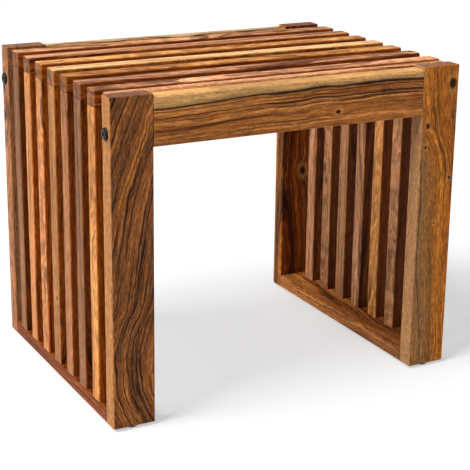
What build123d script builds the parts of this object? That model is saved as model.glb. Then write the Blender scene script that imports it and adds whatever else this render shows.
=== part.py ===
from build123d import *
import os

# Slatted hardwood bench. Millimetres, +Z up, front toward -Y, left toward -X.
# The origin is on the floor, under the middle of the bench.

# Overall sizes
bench_width = 530.0
bench_height = 450.0

# Legs: boards with the wide face to the front
leg_width = 60.0
leg_thickness = 25.0
leg_edge_radius = 2.0
leg_end_bevel = 0.9

# Slats: the seat slats and the side slats share one spacing from front to back
slat_count = 7
slat_thickness = 25.0
slat_gap = 22.5
slat_edge_bevel = 1.4
slat_end_bevel = 0.9
seat_slat_height = 22.0
side_slat_width = 25.0
side_slat_bevel = 1.2

# Aprons between the legs
apron_thickness = 25.0
apron_height = 66.0
apron_drop = 3.0
apron_edge_radius = 3.5
apron_end_bevel = 1.2

# Strip along the front edge of the seat, behind the apron and the front legs
strip_thickness = 12.0
strip_inset = 7.0
strip_bevel = 1.2

# Rails between the front and the back legs
bottom_rail_height = 20.0
upper_rail_thickness = 22.0
upper_rail_height = 35.0
rail_bevel = 1.2

# Batten under the middle of the seat slats
batten_width = 40.0
batten_height = 20.0
batten_bevel = 1.2

# Corner bolts with their barrel nuts
bolt_diameter = 8.0
bolt_bore_diameter = 8.6
bolt_head_diameter = 16.7
bolt_head_height = 3.6
bolt_head_rounding = 1.8
bolt_crown_reach = 3.6
bolt_below_top = 48.0
socket_across_flats = 5.0
socket_depth = 3.2
socket_chamfer = 0.4
nut_diameter = 10.0
nut_length = 16.0
nut_from_apron_end = 30.0
bolt_past_nut = 4.0
bolt_bore_past_tip = 2.0
nut_slot_width = 1.2
nut_slot_depth = 1.5

# Locating dowels between legs and aprons
dowel_diameter = 8.0
dowel_length = 40.0
dowel_above_bolt = 26.0

# Stub tenons
shoulder = 5.0
rail_tenon_wall = 2.0
slat_tenon_length = 8.0
glue_gap = 0.5
joint_clearance = 0.1

# Foot glides, each with a recess for the head of its nail
glide_diameter = 18.0
glide_height = 4.0
glide_bevel = 1.4
nail_recess_diameter = 6.0
nail_recess_depth = 1.6

# Places worked out from the sizes above
half_width = bench_width / 2
slat_pitch = slat_thickness + slat_gap
inner_depth = slat_count * slat_thickness + (slat_count + 1) * slat_gap
half_inner_depth = inner_depth / 2
half_depth = half_inner_depth + leg_thickness
leg_inner_x = half_width - leg_width
leg_center_x = half_width - leg_width / 2
leg_center_y = half_depth - leg_thickness / 2
apron_center_y = half_depth - apron_thickness / 2
seat_underside = bench_height - seat_slat_height
rail_top = glide_height + bottom_rail_height
apron_top = bench_height - apron_drop
side_slat_inner_x = half_width - side_slat_width
bolt_z = bench_height - bolt_below_top
dowel_z = bolt_z + dowel_above_bolt
nut_x = leg_inner_x - nut_from_apron_end
bolt_tip_x = nut_x - nut_diameter / 2 - bolt_past_nut
rail_tenon_length = (leg_thickness - bolt_bore_diameter) / 2 - rail_tenon_wall - glue_gap
apron_mortise_depth = rail_tenon_length + glue_gap

front_and_back = (("front", -1), ("back", 1))
left_and_right = (("left", -1), ("right", 1))


def block(x_span, y_span, z_span):
    """A plain block between pairs of coordinates given in any order."""
    spans = (x_span, y_span, z_span)
    size = [abs(b - a) for a, b in spans]
    middle = [(a + b) / 2 for a, b in spans]
    return Pos(*middle) * Box(*size)


def with_beveled_ends(body, grain, bevel):
    """The same board with a small bevel round both end faces."""
    return chamfer(body.faces().filter_by(grain).edges(), bevel)


def board(x_span, y_span, z_span, grain, edge_radius, end_bevel):
    """A planed board: long edges rounded along the grain, and both ends beveled."""
    body = block(x_span, y_span, z_span)
    body = fillet(body.edges().filter_by(grain), edge_radius)
    return with_beveled_ends(body, grain, end_bevel)


def bar(x_span, y_span, z_span, grain, bevel):
    """A slender bar with its long edges broken by a plane and its ends square."""
    body = block(x_span, y_span, z_span)
    return chamfer(body.edges().filter_by(grain), bevel)


def rod(start, end, diameter):
    """A round bar or bore from one point to another."""
    a = Vector(*start)
    b = Vector(*end)
    plane = Plane(origin=a, z_dir=b - a)
    return extrude(plane * Circle(diameter / 2), (b - a).length)


def slat_center_y(index):
    """Middle of a slat from front to back; slat 1 is nearest the front."""
    return -half_inner_depth + index * slat_pitch - slat_thickness / 2


def grown(span, amount):
    """A pair of coordinates moved apart by an amount at each end."""
    low, high = min(span), max(span)
    return (low - amount, high + amount)


def rail_spans(side, kind):
    """The x and z spans of the bottom or the upper rail on one side."""
    if kind == "bottom":
        return (side * leg_inner_x, side * half_width), (glide_height, rail_top)
    inner = side_slat_inner_x - upper_rail_thickness
    x_span = (side * inner, side * side_slat_inner_x)
    return x_span, (seat_underside - upper_rail_height, seat_underside)


def end_tenon(x_span, z_span, way, clearance, gap):
    """Stub tenon past the inner leg face, or its mortise with clearance and gap."""
    x_in = grown(x_span, clearance - shoulder)
    z_in = grown(z_span, clearance - shoulder)
    face = way * half_inner_depth
    return block(x_in, (face - way * shoulder, face + way * (rail_tenon_length + gap)), z_in)


def slat_tenon(side, index, face_z, way, clearance, gap):
    """Square stub tenon at one end of a side slat, or its mortise."""
    middle = slat_center_y(index)
    x_in = grown((side * side_slat_inner_x, side * half_width), clearance - shoulder)
    y_in = grown((middle - slat_thickness / 2, middle + slat_thickness / 2), clearance - shoulder)
    return block(x_in, y_in, (face_z - way * shoulder, face_z + way * (slat_tenon_length + gap)))


def rail_mortise(side, kind, way):
    """Pocket in a leg for one rail tenon, open at the leg's inner face."""
    x_span, z_span = rail_spans(side, kind)
    pocket = end_tenon(x_span, z_span, way, joint_clearance, glue_gap)
    face = way * half_inner_depth
    return pocket & block(x_span, (face, way * half_depth), z_span)


def batten_spans():
    """The x and z spans of the batten under the seat."""
    x_span = (-batten_width / 2, batten_width / 2)
    return x_span, (seat_underside - batten_height, seat_underside)


def bolt_bore(side, way):
    """Bore through the leg and into the apron end for one corner bolt."""
    y = way * leg_center_y
    end = bolt_tip_x - bolt_bore_past_tip
    return rod((side * half_width, y, bolt_z), (side * end, y, bolt_z), bolt_bore_diameter)


def dowel_bar(side, way, clearance):
    """A locating dowel across the joint between leg and apron, or its bore."""
    reach = dowel_length / 2 + (glue_gap if clearance else 0.0)
    y = way * leg_center_y
    start = (side * (leg_inner_x - reach), y, dowel_z)
    end = (side * (leg_inner_x + reach), y, dowel_z)
    return rod(start, end, dowel_diameter + 2 * clearance)


def leg(side, way):
    """Board leg with its bolt bore, its dowel bore and two mortises."""
    body = board(
        (side * leg_inner_x, side * half_width),
        (way * half_inner_depth, way * half_depth),
        (glide_height, bench_height),
        Axis.Z, leg_edge_radius, leg_end_bevel,
    )
    body -= bolt_bore(side, way)
    body -= dowel_bar(side, way, joint_clearance)
    for kind in ("bottom", "upper"):
        body -= rail_mortise(side, kind, way)
    return body


def nut_pocket(side, way):
    """Blind cross hole for a barrel nut, drilled from the apron's hidden face."""
    middle = way * apron_center_y
    open_face = way * (half_depth - apron_thickness)
    blind = middle + way * (nut_length / 2 + glue_gap)
    x = side * nut_x
    return rod((x, open_face, bolt_z), (x, blind, bolt_z), nut_diameter + 2 * joint_clearance)


def apron(way):
    """Board between two legs, bored for bolts, nuts and dowels and housed for the batten."""
    inner = way * (half_depth - apron_thickness)
    body = board(
        (-leg_inner_x, leg_inner_x),
        (inner, way * half_depth),
        (apron_top - apron_height, apron_top),
        Axis.X, apron_edge_radius, apron_end_bevel,
    )
    for _, side in left_and_right:
        body -= bolt_bore(side, way)
        body -= nut_pocket(side, way)
        body -= dowel_bar(side, way, joint_clearance)
    x_span, z_span = batten_spans()
    pocket_x = grown(x_span, joint_clearance - shoulder)
    pocket_z = grown(z_span, joint_clearance - shoulder)
    body -= block(pocket_x, (inner, inner + way * apron_mortise_depth), pocket_z)
    return body


def seat_slat(index):
    """Slat across the whole seat, with a mortise over each side slat."""
    middle = slat_center_y(index)
    body = bar(
        (-half_width, half_width),
        (middle - slat_thickness / 2, middle + slat_thickness / 2),
        (seat_underside, bench_height),
        Axis.X, slat_edge_bevel,
    )
    body = with_beveled_ends(body, Axis.X, slat_end_bevel)
    for _, side in left_and_right:
        body -= slat_tenon(side, index, seat_underside, 1, joint_clearance, glue_gap)
    return body


def side_slat(side, index):
    """Upright slat from the bottom rail to the underside of its seat slat."""
    middle = slat_center_y(index)
    body = bar(
        (side * side_slat_inner_x, side * half_width),
        (middle - slat_thickness / 2, middle + slat_thickness / 2),
        (rail_top, seat_underside),
        Axis.Z, side_slat_bevel,
    )
    body += slat_tenon(side, index, rail_top, -1, 0.0, 0.0)
    body += slat_tenon(side, index, seat_underside, 1, 0.0, 0.0)
    return body


def rail(side, kind):
    """The bottom or the upper rail between two legs, with a tenon at each end."""
    x_span, z_span = rail_spans(side, kind)
    body = bar(x_span, (-half_inner_depth, half_inner_depth), z_span, Axis.Y, rail_bevel)
    for _, way in front_and_back:
        body += end_tenon(x_span, z_span, way, 0.0, 0.0)
    return body


def bottom_rail(side):
    """Rail on the glides' level between two legs, with a mortise for each side slat."""
    body = rail(side, "bottom")
    for index in range(1, slat_count + 1):
        body -= slat_tenon(side, index, rail_top, -1, joint_clearance, glue_gap)
    return body


def seat_batten():
    """Batten from apron to apron under the middle of the seat slats."""
    x_span, z_span = batten_spans()
    reach = half_depth - apron_thickness
    body = bar(x_span, (-reach, reach), z_span, Axis.Y, batten_bevel)
    for _, way in front_and_back:
        tip = way * (reach + rail_tenon_length)
        tenon_x = grown(x_span, -shoulder)
        tenon_z = grown(z_span, -shoulder)
        body += block(tenon_x, (way * (reach - shoulder), tip), tenon_z)
    return body


def seat_edge_strip():
    """Narrow strip glued behind the front apron and the front legs, level with the seat."""
    reach = half_width - strip_inset
    body = bar(
        (-reach, reach),
        (-half_inner_depth, -half_inner_depth + strip_thickness),
        (seat_underside, bench_height),
        Axis.X, strip_bevel,
    )
    return with_beveled_ends(body, Axis.X, strip_bevel)


def corner_bolt(side, way):
    """Bolt with a low domed head and a hexagon socket, made along +X and then placed."""
    head = bolt_head_diameter / 2
    crown = bolt_head_height - bolt_head_rounding
    length = half_width - bolt_tip_x
    crown_edge = head - bolt_crown_reach
    shank = bolt_diameter / 2
    with BuildPart() as bolt:
        with BuildSketch(Plane.XY):
            with BuildLine():
                Line((-length, 0), (bolt_head_height, 0))
                Line((bolt_head_height, 0), (bolt_head_height, crown_edge))
                TangentArc((bolt_head_height, crown_edge), (crown, head), tangent=(0, 1))
                Polyline((crown, head), (0, head), (0, shank), (-length, shank), (-length, 0))
            make_face()
        revolve(axis=Axis.X)
        with BuildSketch(Plane.YZ.offset(bolt_head_height)):
            RegularPolygon(socket_across_flats / 2, 6, major_radius=False)
        extrude(amount=-socket_depth, mode=Mode.SUBTRACT)
        with BuildSketch(Plane.YZ.offset(bolt_head_height)):
            RegularPolygon(socket_across_flats / 2 + socket_chamfer, 6, major_radius=False)
        extrude(amount=-socket_chamfer, taper=45, mode=Mode.SUBTRACT)
    turned = bolt.part if side > 0 else Rot(0, 0, 180) * bolt.part
    return Pos(side * half_width, way * leg_center_y, bolt_z) * turned


def barrel_nut(side, way):
    """Cross nut in the apron, with its threaded hole on the bolt's line and a slot."""
    x = side * nut_x
    y = way * apron_center_y
    inner = y - way * nut_length / 2
    nut = rod((x, inner, bolt_z), (x, y + way * nut_length / 2, bolt_z), nut_diameter)
    hole = bolt_diameter / 2 + joint_clearance
    nut -= rod((x - nut_diameter, y, bolt_z), (x + nut_diameter, y, bolt_z), 2 * hole)
    nut -= block(
        grown((x, x), nut_diameter),
        (inner - way * nut_slot_depth, inner + way * nut_slot_depth),
        grown((bolt_z, bolt_z), nut_slot_width / 2),
    )
    return nut


def dowel(side, way):
    """Plain locating dowel."""
    return dowel_bar(side, way, 0.0)


def foot_glide(side, way):
    """Round glide under a leg, with a beveled tread and a recess for its nail's head."""
    with BuildPart() as glide:
        Cylinder(glide_diameter / 2, glide_height, align=(Align.CENTER, Align.CENTER, Align.MIN))
        chamfer(glide.edges().sort_by(Axis.Z)[0], glide_bevel)
        Cylinder(nail_recess_diameter / 2, nail_recess_depth,
                 align=(Align.CENTER, Align.CENTER, Align.MIN), mode=Mode.SUBTRACT)
    return Pos(side * leg_center_x, way * leg_center_y, 0) * glide.part


def at_each_corner(make):
    """One copy of a small piece at each of the four legs."""
    return [make(side, way) for _, way in front_and_back for _, side in left_and_right]


def all_nodes():
    """Every node of the bench with its solids."""
    nodes = {}
    for way_name, way in front_and_back:
        for side_name, side in left_and_right:
            nodes[f"leg_{way_name}_{side_name}"] = [leg(side, way)]
        nodes[f"apron_{way_name}"] = [apron(way)]
    for index in range(1, slat_count + 1):
        nodes[f"seat_slat_{index}"] = [seat_slat(index)]
        for side_name, side in left_and_right:
            nodes[f"side_slat_{side_name}_{index}"] = [side_slat(side, index)]
    for side_name, side in left_and_right:
        nodes[f"bottom_rail_{side_name}"] = [bottom_rail(side)]
        nodes[f"upper_rail_{side_name}"] = [rail(side, "upper")]
    nodes["seat_edge_strip"] = [seat_edge_strip()]
    nodes["seat_batten"] = [seat_batten()]
    nodes["corner_bolts"] = at_each_corner(corner_bolt)
    nodes["barrel_nuts"] = at_each_corner(barrel_nut)
    nodes["apron_dowels"] = at_each_corner(dowel)
    nodes["foot_glides"] = at_each_corner(foot_glide)
    return nodes


os.makedirs("parts", exist_ok=True)
for name, pieces in all_nodes().items():
    solids = [solid for piece in pieces for solid in piece.solids()]
    shape = solids[0] if len(solids) == 1 else Compound(solids)
    export_step(shape, f"parts/{name}.step")
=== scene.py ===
import math
import random

import bmesh
import bpy
from mathutils import Euler, Matrix, Quaternion, Vector


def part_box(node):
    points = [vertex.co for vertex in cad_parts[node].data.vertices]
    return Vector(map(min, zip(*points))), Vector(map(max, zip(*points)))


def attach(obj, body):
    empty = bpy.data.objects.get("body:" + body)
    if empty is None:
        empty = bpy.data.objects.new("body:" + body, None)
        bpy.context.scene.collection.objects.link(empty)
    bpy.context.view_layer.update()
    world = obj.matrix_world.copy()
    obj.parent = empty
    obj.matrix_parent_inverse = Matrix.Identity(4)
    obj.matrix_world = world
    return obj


# Camera, in the row frame: metres and degrees
CAMERA_PLACE = (-0.897, -1.7085, 0.805)
CAMERA_YAW = 28.23
CAMERA_DOWN = 17.0
CAMERA_ROLL = 0.75
CAMERA_LENS = 104.15
CAMERA_SHIFT_Y = -0.051
SENSOR_WIDTH = 36.0

# Studio
FLOOR_REACH = 30.0
FLOOR_COLOUR = (0.32, 0.32, 0.32)
FLOOR_GLOW = 0.51
SKY_STRENGTH = 0.30
HORIZON_STRENGTH = 1.0
HORIZON_BAND = (0.08, 0.20)
KEY_FROM = (-0.64, -0.05, 0.77)
KEY_STRENGTH = 6.0
KEY_SPREAD = 34.0

# Wood tones as 8-bit sRGB: pale, main and dark wood of one board
TONES = {
    "honey": ((220, 158, 92), (188, 124, 64), (104, 58, 24)),
    "ivory": ((246, 206, 150), (226, 178, 122), (156, 106, 62)),
    "peach": ((234, 176, 130), (208, 146, 104), (112, 62, 32)),
    "blush": ((220, 160, 116), (192, 132, 92), (98, 54, 28)),
    "dune": ((206, 150, 108), (176, 121, 80), (96, 58, 34)),
    "straw": ((232, 188, 124), (210, 156, 92), (150, 98, 48)),
    "gold": ((214, 142, 74), (174, 106, 48), (92, 48, 18)),
    "tawny": ((198, 128, 66), (158, 95, 42), (84, 44, 17)),
    "amber": ((206, 130, 44), (164, 93, 28), (92, 57, 20)),
    "walnut": ((178, 108, 50), (130, 77, 38), (33, 19, 11)),
    "rose": ((214, 150, 98), (182, 118, 68), (94, 50, 24)),
    "mauve": ((190, 132, 88), (154, 100, 62), (82, 46, 26)),
    "dusk": ((160, 110, 74), (128, 84, 52), (64, 36, 20)),
    "olive": ((198, 142, 88), (158, 106, 60), (88, 54, 28)),
    "umber": ((164, 86, 16), (114, 52, 8), (48, 20, 3)),
}
SAPWOOD = (192, 144, 88)
SAP_EDGE_COLOUR = (120, 92, 58)
LINE_COLOUR = (30, 18, 12)
KNOT_COLOUR = (44, 20, 10)
KNOT_RIM_COLOUR = (206, 142, 76)
LEG_END_TONES = ((112, 82, 68), (98, 66, 54))
SLAT_END_TONES = ((108, 57, 20), (42, 21, 11))
# Painted shade: linear colours that multiply each slat's face toward the front, down in the gaps between
# slats, darkest on the slats of the right side
PAINTED_SLAT_SHADE = {
    "seat_slat": (0.50, 0.27, 0.09, 1.0),
    "side_slat_left": (0.62, 0.33, 0.08, 1.0),
    "side_slat_right": (0.29, 0.15, 0.03, 1.0),
}
PAINTED_SIDE_DEPTH = 0.0018
SEAT_CONTRAST = 1.45
OLIVE_STREAK = (126, 96, 60)

# Wood figure: cells per metre along and across the grain
WARP_SCALE = (4.0, 20.0, 20.0)
WAVE_SCALE = (26.0, 90.0, 90.0)
CURL_SCALE = (180.0, 560.0, 560.0)
FIBRE_SCALE = (42.0, 620.0, 620.0)
PORE_SCALE = (95.0, 1500.0, 1500.0)
END_SCALE = (20.0, 90.0, 90.0)
PATH_REACH = 0.1
KNOT_ALONG = 0.75
KNOT_THROUGH = 0.15

# Small fasteners, in metres
HEAD_ANGLES = (13, 45, 77, 103, 135, 167, 193, 225, 257, 283, 315, 347)
SCREW_RADIUS = 0.0040
SCREW_HEIGHT = 0.0016
CROSS_REACH = 0.0021
CROSS_HALF_WIDTH = 0.0005
CROSS_DEPTH = 0.0009
NAIL_RADIUS = 0.0025
NAIL_HEIGHT = 0.0010
SLAT_PITCH = 0.0475
SCREW_ROWS = ((-0.229, 0.393), (0.0, 0.408), (0.229, 0.393))
GLIDE_ROOF = 0.0016
GLIDE_X = 0.235
GLIDE_Y = 0.190

AXES = {"X": (1.0, 0.0, 0.0), "Y": (0.0, 1.0, 0.0), "Z": (0.0, 0.0, 1.0)}
GRAIN_OF = {
    "leg": "Z",
    "apron": "X",
    "seat_slat": "X",
    "side_slat": "Z",
    "bottom_rail": "Y",
    "upper_rail": "Y",
    "seat_edge_strip": "X",
    "seat_batten": "Y",
}


def linear(colour):
    """Linear RGBA of an 8-bit sRGB colour."""
    channels = []
    for value in colour:
        part = value / 255
        channels.append(part / 12.92 if part <= 0.04045 else ((part + 0.055) / 1.055) ** 2.4)
    return (*channels, 1.0)


class Graph:
    """Nodes of one material, added with short calls."""

    def __init__(self, name):
        self.material = bpy.data.materials.new(name)
        self.material.use_nodes = True
        self.nodes = self.material.node_tree.nodes
        self.links = self.material.node_tree.links
        self.shader = self.nodes["Principled BSDF"]
        self.place = self.add("ShaderNodeTexCoord").outputs["Object"]

    def join(self, socket, value):
        """Gives a socket a plain value or another node's output."""
        if isinstance(value, bpy.types.NodeSocket):
            self.links.new(value, socket)
        else:
            socket.default_value = value

    def add(self, kind, settings=None, inputs=None):
        """One node with its settings and inputs."""
        node = self.nodes.new(kind)
        for key, value in (settings or {}).items():
            setattr(node, key, value)
        for key, value in (inputs or {}).items():
            self.join(node.inputs[key], value)
        return node

    def math(self, operation, *values):
        inputs = dict(enumerate(values))
        return self.add("ShaderNodeMath", {"operation": operation}, inputs).outputs[0]

    def vector(self, operation, *values):
        node = self.add("ShaderNodeVectorMath", {"operation": operation}, dict(enumerate(values)))
        return node.outputs["Value" if operation in ("LENGTH", "DOT_PRODUCT") else "Vector"]

    def noise(self, place, scale, detail=2.0, roughness=0.5):
        """Noise from 0 to 1 with its own number of cells per metre on each axis."""
        stretched = self.vector("MULTIPLY", place, scale)
        inputs = {"Vector": stretched, "Scale": 1.0, "Detail": detail, "Roughness": roughness}
        return self.add("ShaderNodeTexNoise", None, inputs).outputs["Fac"]

    def span(self, value, low, high, start=0.0, end=1.0, smooth=True):
        """The value's place between low and high, as a number from start to end."""
        kind = "SMOOTHSTEP" if smooth else "LINEAR"
        inputs = {"Value": value, "From Min": low, "From Max": high, "To Min": start, "To Max": end}
        return self.add("ShaderNodeMapRange", {"interpolation_type": kind}, inputs).outputs["Result"]

    def curve(self, value, points):
        """A smooth curve through (place, height) points, both from 0 to 1."""
        node = self.add("ShaderNodeFloatCurve", None, {"Value": value})
        line = node.mapping.curves[0]
        while len(line.points) < len(points):
            line.points.new(0.5, 0.5)
        for point, place in zip(line.points, points):
            point.location = place
        node.mapping.update()
        return node.outputs["Value"]

    def blend(self, factor, first, second, kind="MIX"):
        """Colour mix of two colours."""
        node = self.add("ShaderNodeMix", {"data_type": "RGBA", "blend_type": kind})
        for index, value in ((0, factor), (6, first), (7, second)):
            self.join(node.inputs[index], value)
        return node.outputs[2]

    def shaded(self, colour, shade):
        """A colour made darker or lighter by a number."""
        inputs = {"Red": shade, "Green": shade, "Blue": shade}
        grey = self.add("ShaderNodeCombineColor", None, inputs).outputs["Color"]
        return self.blend(1.0, colour, grey, "MULTIPLY")

    def ramp(self, value, stops):
        """Colour ramp through (position, linear colour) stops."""
        node = self.add("ShaderNodeValToRGB", None, {"Fac": value})
        elements = node.color_ramp.elements
        while len(elements) < len(stops):
            elements.new(0.5)
        for element, (position, colour) in zip(elements, stops):
            element.position = position
            element.color = colour
        return node.outputs["Color"]

    def finish(self, colour, roughness, height, relief, fixed):
        """Joins the results to the shader; fixed holds its plain values."""
        self.links.new(colour, self.shader.inputs["Base Color"])
        self.links.new(roughness, self.shader.inputs["Roughness"])
        inputs = {"Height": height, "Distance": relief, "Strength": 1.0}
        bump = self.add("ShaderNodeBump", None, inputs)
        self.links.new(bump.outputs["Normal"], self.shader.inputs["Normal"])
        for key, value in fixed.items():
            self.shader.inputs[key].default_value = value
        return self.material


def log_space(graph, centre, grain, pith, tilt):
    """Coordinates of the log that a board was sawn from: X runs along the pith."""
    turns = {
        "X": Matrix(((1, 0, 0), (0, 0, 1), (0, -1, 0))),
        "Y": Matrix(((0, 1, 0), (-1, 0, 0), (0, 0, 1))),
        "Z": Matrix(((0, 0, 1), (1, 0, 0), (0, 1, 0))),
    }
    lean = Euler((0.0, math.radians(tilt[0]), math.radians(tilt[1]))).to_matrix()
    turn = lean @ turns[grain]
    inputs = {
        "Vector": graph.place,
        "Location": Vector((0.0, pith[0], pith[1])) - turn @ centre,
        "Rotation": turn.to_euler(),
    }
    return graph.add("ShaderNodeMapping", {"vector_type": "POINT"}, inputs).outputs["Vector"]


def ring_radius(graph, log, moved, reach, look):
    """Distance from the pith, bent as the growth rings of a real log are."""
    radius = graph.vector("LENGTH", graph.vector("MULTIPLY", log, (0.0, 1.0, 1.0)))
    warp = look["warp"]
    bend = graph.span(graph.noise(moved, WARP_SCALE), 0.25, 0.75, -warp, warp, smooth=False)
    wave = graph.span(graph.noise(moved, WAVE_SCALE), 0.25, 0.75, -0.0009, 0.0009, smooth=False)
    radius = graph.math("ADD", graph.math("ADD", radius, bend), wave)
    along = graph.vector("DOT_PRODUCT", log, (1.0, 0.0, 0.0))
    part = graph.span(along, -reach, reach, smooth=False)
    points = [(place, 0.5 + height / PATH_REACH) for place, height in look["path"]]
    shift = graph.math("MULTIPLY_ADD", graph.curve(part, points), PATH_REACH, -PATH_REACH / 2)
    return graph.math("SUBTRACT", radius, shift), along


def knot_distance(graph, grain, through, place):
    """Distance from a knot that runs through the board along one axis."""
    flattening = [1.0, 1.0, 1.0]
    flattening["XYZ".index(grain)] = KNOT_ALONG
    flattening["XYZ".index(through)] = KNOT_THROUGH
    offset = graph.vector("SUBTRACT", graph.place, place)
    return graph.vector("LENGTH", graph.vector("MULTIPLY", offset, flattening))


def band_colour(graph, flow, look):
    """Broad bands, lines and fine lines of dark and pale wood along the rings."""
    spacing, contrast = look["spacing"], look["contrast"]
    broad = graph.noise(flow, (2.2, 0.8 / spacing, 1.0), 1.0)
    lines = graph.noise(flow, (7.0, 3.0 / spacing, 1.0), 2.0, 0.6)
    fine = graph.noise(flow, (55.0, 9.0 / spacing, 1.0), 1.0)
    total = graph.math("ADD", graph.math("MULTIPLY", broad, 0.5), graph.math("MULTIPLY", lines, 0.5))
    pale, main, dark = (linear(colour) for colour in TONES[look["tone"]])
    half = 0.085 / contrast
    colour = graph.ramp(total, (
        (0.5 - 1.7 * half, dark),
        (0.5 - 0.3 * half, main),
        (0.5 + 0.4 * half, main),
        (0.5 + 1.7 * half, pale),
    ))
    drawn = graph.noise(flow, (4.5, 2.6 / spacing, 2.0), 2.0, 0.55)
    depth = graph.span(drawn, 0.59 - 0.03 * contrast, 0.68 - 0.03 * contrast, 0.0, 0.85)
    colour = graph.blend(depth, colour, dark)
    return graph.shaded(colour, graph.span(fine, 0.34, 0.64, 0.60, 1.16))


def board_colour(graph, flow, radius, cores, colour, look):
    """Adds the sapwood, the black lines and the knots to the bands."""
    lines = list(look["veins"])
    swell = graph.span(graph.noise(flow, (9.0, 0.0, 1.0), 1.0), 0.35, 0.65, 0.7, 2.2, smooth=False)
    if look["sap_radius"] is not None:
        edge = look["sap_radius"]
        streaks = graph.noise(flow, (11.0, 420.0, 1.0), 2.0)
        tint = graph.math("MULTIPLY", graph.span(radius, edge, edge + 0.02, 0.90, 1.05),
                          graph.span(streaks, 0.3, 0.7, 0.80, 1.15))
        sap = graph.shaded(linear(look["sapwood"]), tint)
        sap = graph.blend(graph.span(radius, edge, edge + 0.006, 0.75, 0.0), sap,
                          linear(SAP_EDGE_COLOUR))
        colour = graph.blend(graph.span(radius, edge - 0.0004, edge + 0.0004), colour, sap)
        lines.append((edge, 0.0024))
    for line, width, streak_colour in look["streaks"]:
        gap = graph.math("ABSOLUTE", graph.math("SUBTRACT", radius, line))
        colour = graph.blend(graph.span(gap, 0.0, width, 0.75, 0.0), colour, linear(streak_colour))
    for line, width in lines:
        gap = graph.math("MULTIPLY", graph.math("ABSOLUTE", graph.math("SUBTRACT", radius, line)), swell)
        colour = graph.blend(graph.span(gap, 0.3 * width, width, 0.92, 0.0), colour,
                             linear(LINE_COLOUR))
    for distance, size in cores:
        rim = graph.span(distance, 1.1 * size, 2.8 * size, 0.28, 0.0)
        colour = graph.blend(rim, colour, linear(KNOT_RIM_COLOUR))
        core = graph.span(distance, 0.55 * size, 1.25 * size, 1.0, 0.0)
        colour = graph.blend(core, colour, linear(KNOT_COLOUR))
    return colour


def wood(name, low, high, grain, seed, look):
    """Oiled rosewood of one board, cut from its own log."""
    graph = Graph(name)
    centre = (low + high) / 2
    reach = (high - low)["XYZ".index(grain)] / 2
    log = log_space(graph, centre, grain, look["pith"], look["tilt"])
    moved = graph.vector("ADD", log, (seed * 1.7, seed * 0.9, seed * 2.3))
    radius, along = ring_radius(graph, log, moved, reach, look)
    cores = []
    for through, place, size, swell in look["knots"]:
        distance = knot_distance(graph, grain, through, place)
        near = graph.span(distance, 0.0, 4.0 * size, 1.0, 0.0)
        radius = graph.math("ADD", radius, graph.math("MULTIPLY", near, swell))
        cores.append((distance, size))
    parts = {"X": along, "Y": radius, "Z": seed}
    flow = graph.add("ShaderNodeCombineXYZ", None, parts).outputs["Vector"]
    colour = band_colour(graph, flow, look)
    colour = board_colour(graph, flow, radius, cores, colour, look)

    # Painted light and shade: the face at the low end of one axis takes another colour, mixed in or
    # multiplied, fading out over a depth
    if look["side"] is not None:
        axis, depth, kind, side_colour = look["side"]
        place = graph.vector("DOT_PRODUCT", graph.place, AXES[axis])
        start = low["XYZ".index(axis)]
        near = graph.span(place, start + 0.0004, start + depth, 1.0, 0.0)
        colour = graph.blend(near, colour, side_colour, kind)

    grit = 0.28 * look["grit"]
    curl = graph.span(graph.noise(moved, CURL_SCALE), 0.34, 0.66, 1 - grit, 1 + grit, smooth=False)
    fibre = graph.noise(moved, FIBRE_SCALE, 3.0, 0.6)
    pore = graph.span(graph.noise(moved, PORE_SCALE, 1.0), 0.60, 0.68)
    shade = graph.math("MULTIPLY", graph.span(fibre, 0.32, 0.68, 0.72, 1.22, smooth=False), curl)
    shade = graph.math("MULTIPLY", shade, graph.span(pore, 0.0, 1.0, 1.0, 0.5, smooth=False))
    colour = graph.shaded(colour, shade)
    facing = graph.add("ShaderNodeNewGeometry").outputs["Normal"]
    endwise = graph.math("ABSOLUTE", graph.vector("DOT_PRODUCT", facing, AXES[grain]))
    patch = graph.span(graph.noise(moved, END_SCALE), 0.42, 0.58)
    end_colour = graph.blend(patch, *(linear(tone) for tone in look["end_tones"]))
    end = graph.span(endwise, 0.6, 0.9, 0.0, look["end_cover"])
    colour = graph.blend(end, colour, end_colour)

    roughness = graph.span(fibre, 0.2, 0.8, 0.42, 0.58, smooth=False)
    height = graph.math("SUBTRACT", fibre, pore)
    fixed = {"Coat Weight": 0.02, "Coat Roughness": 0.25, "Specular IOR Level": 0.06}
    return graph.finish(colour, roughness, height, 0.00006, fixed)


def metal(name, tone, roughness_span, metallic):
    """Plated or blackened steel, or plastic, with a faint mottle."""
    graph = Graph(name)
    mottle = graph.noise(graph.place, (900.0, 900.0, 900.0), 4.0, 0.6)
    dark, light = tone
    colour = graph.ramp(mottle, ((0.35, linear(dark)), (0.65, linear(light))))
    roughness = graph.span(mottle, 0.3, 0.7, *roughness_span, smooth=False)
    return graph.finish(colour, roughness, mottle, 0.00002, {"Metallic": metallic})
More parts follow.
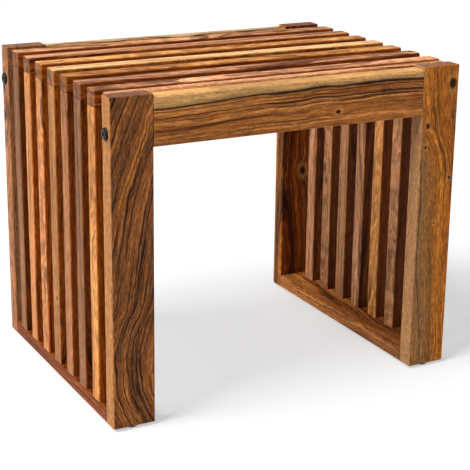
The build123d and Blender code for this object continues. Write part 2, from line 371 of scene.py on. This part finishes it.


# Boards whose figure is given one by one; the others take theirs from a seeded draw.
# A path is (part of the length, metres across), a vein is (radius, width), a streak is
# (radius, width, colour) and a knot is (axis it runs along, place, size, swell).
# A painted side light is (axis, depth, blend, colour): painted light or shade on the face at the low end
# of that axis.
SPECIAL = {
    "leg_front_left": {
        "tone": "walnut", "pith": (0.166, 0.25), "tilt": (0.0, 0.0), "spacing": 0.0047,
        # Painted light: the narrow face toward the left, where the key light falls, gets a paler plain
        # colour
        "warp": 0.003, "contrast": 1.05, "side": ("X", PAINTED_SIDE_DEPTH, "MIX", (0.318, 0.132, 0.041, 1.0)),
        "path": ((0.0, -0.0113), (0.065, -0.0187), (0.11, -0.0224), (0.17, -0.0240),
                 (0.23, -0.0248), (0.31, -0.0193), (0.39, -0.0110), (0.44, -0.0094),
                 (0.69, 0.0008), (0.85, 0.0149), (1.0, 0.0284)),
        "veins": ((0.3013, 0.0012),),
    },
    "leg_front_right": {
        "tone": "amber", "pith": (0.20, -0.20), "tilt": (0.0, 0.0), "spacing": 0.007,
        "warp": 0.005, "contrast": 0.75,
        # Painted light and shade: the narrow face toward the left gets its own plain, duller colour,
        # matched to how that face looks under the light
        "side": ("X", PAINTED_SIDE_DEPTH, "MIX", (0.32, 0.155, 0.062, 1.0)),
        "path": ((0.0, 0.004), (0.25, 0.001), (0.5, -0.003), (0.68, -0.004), (0.82, -0.016),
                 (1.0, -0.022)),
        "streaks": ((0.2770, 0.0250, OLIVE_STREAK), (0.2770, 0.0015, KNOT_COLOUR)),
        "knots": (("Y", (0.216, -0.2025, 0.366), 0.0036, 0.0035),
                  ("Y", (0.214, -0.2025, 0.335), 0.0020, 0.0020),
                  ("Y", (0.258, -0.2025, 0.287), 0.0022, 0.0020),
                  ("Y", (0.235, -0.2025, 0.222), 0.0016, 0.0020),
                  ("Y", (0.255, -0.2025, 0.424), 0.0064, 0.0040)),
    },
    "apron_back": {
        "tone": "olive", "pith": (0.21, -0.21), "tilt": (0.0, 0.0), "spacing": 0.006,
        "path": ((0.0, -0.006), (0.12, 0.001), (0.25, -0.003), (0.4, 0.003), (0.55, -0.002),
                 (0.7, 0.004), (0.85, 0.0), (1.0, 0.005)),
        "sap_radius": 0.3155, "sapwood": (184, 147, 104), "grit": 0.6,
    },
    "side_slat_left_4": {
        "knots": (("X", (-0.25, -0.003, 0.122), 0.0040, 0.006),
                  ("Y", (-0.25, -0.0125, 0.262), 0.0030, 0.004)),
    },
    "side_slat_left_5": {
        "knots": (("Y", (-0.246, 0.035, 0.372), 0.0045, 0.005),
                  ("Y", (-0.243, 0.035, 0.352), 0.0035, 0.005)),
    },
    "leg_back_right": {
        # Painted light: the narrow face toward the left, inside the bench, is multiplied paler and
        # greyer
        "side": ("X", PAINTED_SIDE_DEPTH, "MULTIPLY", (1.7, 2.5, 5.0, 1.0)), "warp": 0.012, "contrast": 1.2,
        "knots": (("Y", (0.243, 0.18, 0.205), 0.0060, 0.010),),
    },
    "bottom_rail_right": {
        # Painted shade: the rail is multiplied darker toward its front end, fading out over 0.30 m
        "side": ("Y", 0.30, "MULTIPLY", (0.45, 0.42, 0.42, 1.0)), "contrast": 1.1,
    },
    "apron_front": {
        "tone": "tawny", "pith": (0.30, 0.0), "tilt": (0.0, 0.0), "spacing": 0.0065,
        "warp": 0.0015, "contrast": 1.0,
        "path": ((0.0, 0.0165), (0.09, 0.0164), (0.17, 0.0175), (0.25, 0.0188), (0.33, 0.0202),
                 (0.41, 0.0206), (0.49, 0.0202), (0.53, 0.0204), (0.57, 0.0220), (0.68, 0.0218),
                 (0.79, 0.0226), (0.86, 0.0236), (0.93, 0.0230), (1.0, 0.0220)),
        "sap_radius": 0.300, "grit": 0.6,
        "veins": ((0.2955, 0.0007), (0.2870, 0.0015), (0.2815, 0.0008)),
        "knots": (("Y", (0.067, -0.2025, 0.401), 0.0032, 0.003),),
    },
}
PLAIN_LOOK = {"warp": 0.006, "sap_radius": None, "sapwood": SAPWOOD, "veins": (), "streaks": (),
              "knots": (), "side": None, "end_tones": LEG_END_TONES, "end_cover": 0.62,
              "grit": 1.0}
SEAT_TONES = ("peach", "blush", "honey", "ivory", "honey", "blush", "blush")
LEFT_TONES = ("honey", "dusk", "mauve", "olive", "rose", "rose", "dusk")
RIGHT_TONES = ("honey", "dune", "honey", "dune", "dune", "dune", "peach")
TONE_OF = {
    "leg_back_left": "mauve",
    "leg_back_right": "umber",
    "apron_back": "olive",
    "bottom_rail_left": "umber",
    "bottom_rail_right": "gold",
    "upper_rail_left": "walnut",
    "upper_rail_right": "walnut",
    "seat_edge_strip": "peach",
    "seat_batten": "olive",
}
for index in range(7):
    TONE_OF[f"seat_slat_{index + 1}"] = SEAT_TONES[index]
    TONE_OF[f"side_slat_left_{index + 1}"] = LEFT_TONES[index]
    TONE_OF[f"side_slat_right_{index + 1}"] = RIGHT_TONES[index]


def board_wood(name, grain, draw):
    """The wood of one board."""
    seed = draw.uniform(1.0, 9.0)
    angle = draw.uniform(0.0, 2 * math.pi)
    away = draw.uniform(0.030, 0.080)
    look = dict(PLAIN_LOOK)
    look.update({
        "tone": TONE_OF.get(name),
        "pith": (away * math.cos(angle), away * math.sin(angle)),
        "tilt": (draw.uniform(-1.5, 1.5), draw.uniform(-1.5, 1.5)),
        "spacing": draw.uniform(0.006, 0.009),
        "contrast": draw.uniform(0.55, 0.85),
        "path": tuple((part / 4, draw.uniform(-0.004, 0.004)) for part in range(5)),
    })
    # Slats get painted shade on their faces toward the front, less grit and their own end tones
    for kind, heart_side in PAINTED_SLAT_SHADE.items():
        if name.startswith(kind):
            look.update({"side": ("Y", PAINTED_SIDE_DEPTH, "MULTIPLY", heart_side), "grit": 0.45,
                         "end_tones": SLAT_END_TONES, "end_cover": 0.85})
    if name.startswith("seat_slat"):
        look["contrast"] *= SEAT_CONTRAST
    look.update(SPECIAL.get(name, {}))
    low, high = (Vector(corner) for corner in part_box(name))
    return wood(f"wood_{name}", low, high, grain, seed, look)


def set_material(mesh, material):
    for slot in range(len(mesh.materials)):
        mesh.materials[slot] = material


def dress(nodes, hardware):
    """Gives every CAD node its own material."""
    draw = random.Random(27)
    for name in sorted(nodes):
        if name in hardware:
            material = hardware[name]
        else:
            kind = next(kind for kind in GRAIN_OF if name.startswith(kind))
            material = board_wood(name, GRAIN_OF[kind], draw)
        set_material(nodes[name].data, material)


def head_ring(mesh, place, radius, height):
    """One ring of a fastener's head, looking down from its seat."""
    ring = []
    for angle in HEAD_ANGLES:
        turn = math.radians(angle)
        spot = Vector((radius * math.cos(turn), radius * math.sin(turn), -height))
        ring.append(mesh.verts.new(place + spot))
    return ring


def cross_ring(mesh, place, height):
    """The outline of a cross recess, with one corner for each of the head's angles."""
    ring = []
    for angle in HEAD_ANGLES:
        turn = math.radians(angle)
        x, y = math.cos(turn), math.sin(turn)
        reach_x = CROSS_REACH if abs(x) > 0.8 else CROSS_HALF_WIDTH
        reach_y = CROSS_REACH if abs(y) > 0.8 else CROSS_HALF_WIDTH
        spot = Vector((math.copysign(reach_x, x), math.copysign(reach_y, y), -height))
        ring.append(mesh.verts.new(place + spot))
    return ring


def bridge(mesh, first, second):
    """Faces between two rings."""
    count = len(first)
    for index in range(count):
        after = (index + 1) % count
        mesh.faces.new((first[index], first[after], second[after], second[index]))


def add_heads(name, places, radius, height, crossed, material):
    """Fastener heads seated under the given places, as one piece."""
    mesh = bmesh.new()
    for place in map(Vector, places):
        rings = [
            head_ring(mesh, place, radius, 0.0),
            head_ring(mesh, place, radius, 0.4 * height),
            head_ring(mesh, place, 0.86 * radius, 0.8 * height),
            head_ring(mesh, place, 0.66 * radius, height),
        ]
        if crossed:
            rings.append(cross_ring(mesh, place, height))
            rings.append(cross_ring(mesh, place, height - CROSS_DEPTH))
        for first, second in zip(rings, rings[1:]):
            bridge(mesh, first, second)
        mesh.faces.new(rings[-1])
        mesh.faces.new(rings[0][::-1])
    bmesh.ops.recalc_face_normals(mesh, faces=mesh.faces)
    data = bpy.data.meshes.new(name)
    mesh.to_mesh(data)
    mesh.free()
    data.materials.append(material)
    piece = bpy.data.objects.new(name, data)
    bpy.context.collection.objects.link(piece)
    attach(piece, "root")


def add_fasteners(zinc):
    """Screws up into the seat slats, and the nail of each foot glide."""
    screws = [(x, SLAT_PITCH * step, z) for x, z in SCREW_ROWS for step in range(-3, 4)]
    add_heads("seat_screw_heads", screws, SCREW_RADIUS, SCREW_HEIGHT, True, zinc)
    nails = [(x, y, GLIDE_ROOF) for x in (-GLIDE_X, GLIDE_X) for y in (-GLIDE_Y, GLIDE_Y)]
    add_heads("glide_nail_heads", nails, NAIL_RADIUS, NAIL_HEIGHT, False, zinc)


def add_camera():
    """The camera at the photograph's angle."""
    data = bpy.data.cameras.new("camera")
    data.lens = CAMERA_LENS
    data.sensor_width = SENSOR_WIDTH
    data.shift_y = CAMERA_SHIFT_Y
    camera = bpy.data.objects.new("camera", data)
    camera.location = CAMERA_PLACE
    aim = Euler((math.radians(90 - CAMERA_DOWN), 0.0, math.radians(-CAMERA_YAW))).to_quaternion()
    camera.rotation_mode = "QUATERNION"
    camera.rotation_quaternion = aim @ Quaternion((0.0, 0.0, 1.0), math.radians(CAMERA_ROLL))
    bpy.context.collection.objects.link(camera)
    bpy.context.scene.camera = camera


def add_floor():
    """A large pale floor."""
    bpy.ops.mesh.primitive_plane_add(size=2 * FLOOR_REACH, location=(0.0, 0.0, 0.0))
    floor = bpy.context.object
    floor.name = "floor"
    material = bpy.data.materials.new("pale_floor")
    material.use_nodes = True
    shader = material.node_tree.nodes["Principled BSDF"]
    shader.inputs["Base Color"].default_value = (*FLOOR_COLOUR, 1.0)
    shader.inputs["Roughness"].default_value = 0.9
    shader.inputs["Specular IOR Level"].default_value = 0.0
    shader.inputs["Emission Color"].default_value = (1.0, 1.0, 1.0, 1.0)
    shader.inputs["Emission Strength"].default_value = FLOOR_GLOW
    floor.data.materials.append(material)


def add_lights():
    """Sky that is white at the horizon, and one wide key light from the upper left."""
    world = bpy.data.worlds.new("sky")
    world.use_nodes = True
    nodes, links = world.node_tree.nodes, world.node_tree.links
    sky = nodes["Background"]
    sky.inputs["Color"].default_value = (1.0, 1.0, 1.0, 1.0)
    parts = nodes.new("ShaderNodeSeparateXYZ")
    links.new(nodes.new("ShaderNodeTexCoord").outputs["Generated"], parts.inputs["Vector"])
    strength = nodes.new("ShaderNodeMapRange")
    limits = (*HORIZON_BAND, HORIZON_STRENGTH, SKY_STRENGTH)
    for key, value in zip(("From Min", "From Max", "To Min", "To Max"), limits):
        strength.inputs[key].default_value = value
    links.new(parts.outputs["Z"], strength.inputs["Value"])
    links.new(strength.outputs["Result"], sky.inputs["Strength"])
    bpy.context.scene.world = world

    key_data = bpy.data.lights.new("key", "SUN")
    key_data.energy = KEY_STRENGTH
    key_data.angle = math.radians(KEY_SPREAD)
    key = bpy.data.objects.new("key", key_data)
    key.rotation_euler = Vector(KEY_FROM).to_track_quat("Z", "Y").to_euler()
    bpy.context.collection.objects.link(key)


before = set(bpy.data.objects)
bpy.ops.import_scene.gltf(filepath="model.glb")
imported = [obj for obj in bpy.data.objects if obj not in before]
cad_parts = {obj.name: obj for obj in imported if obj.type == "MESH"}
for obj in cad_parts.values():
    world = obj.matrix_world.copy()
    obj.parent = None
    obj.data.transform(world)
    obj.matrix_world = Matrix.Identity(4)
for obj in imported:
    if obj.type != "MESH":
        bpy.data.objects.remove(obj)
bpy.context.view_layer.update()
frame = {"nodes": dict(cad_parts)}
add_camera()
add_floor()
add_lights()
zinc_finish = metal("zinc_finish", ((150, 150, 152), (190, 190, 192)), (0.28, 0.40), 1.0)
dowel_low, dowel_high = (Vector(corner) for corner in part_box("apron_dowels"))
dowel_look = dict(PLAIN_LOOK, tone="straw", pith=(0.02, 0.02), tilt=(0.5, 0.5), spacing=0.003,
                  contrast=0.8, path=((0.0, 0.0), (1.0, 0.0)))
dress(frame["nodes"], {
    "corner_bolts": metal("black_steel_finish", ((8, 8, 9), (26, 26, 28)), (0.30, 0.42), 0.7),
    "barrel_nuts": zinc_finish,
    "foot_glides": metal("black_plastic_finish", ((12, 12, 12), (24, 24, 24)), (0.48, 0.62), 0.0),
    "apron_dowels": wood("wood_dowels", dowel_low, dowel_high, "X", 4.0, dowel_look),
})
add_fasteners(zinc_finish)
bpy.context.scene.view_settings.view_transform = "Standard"
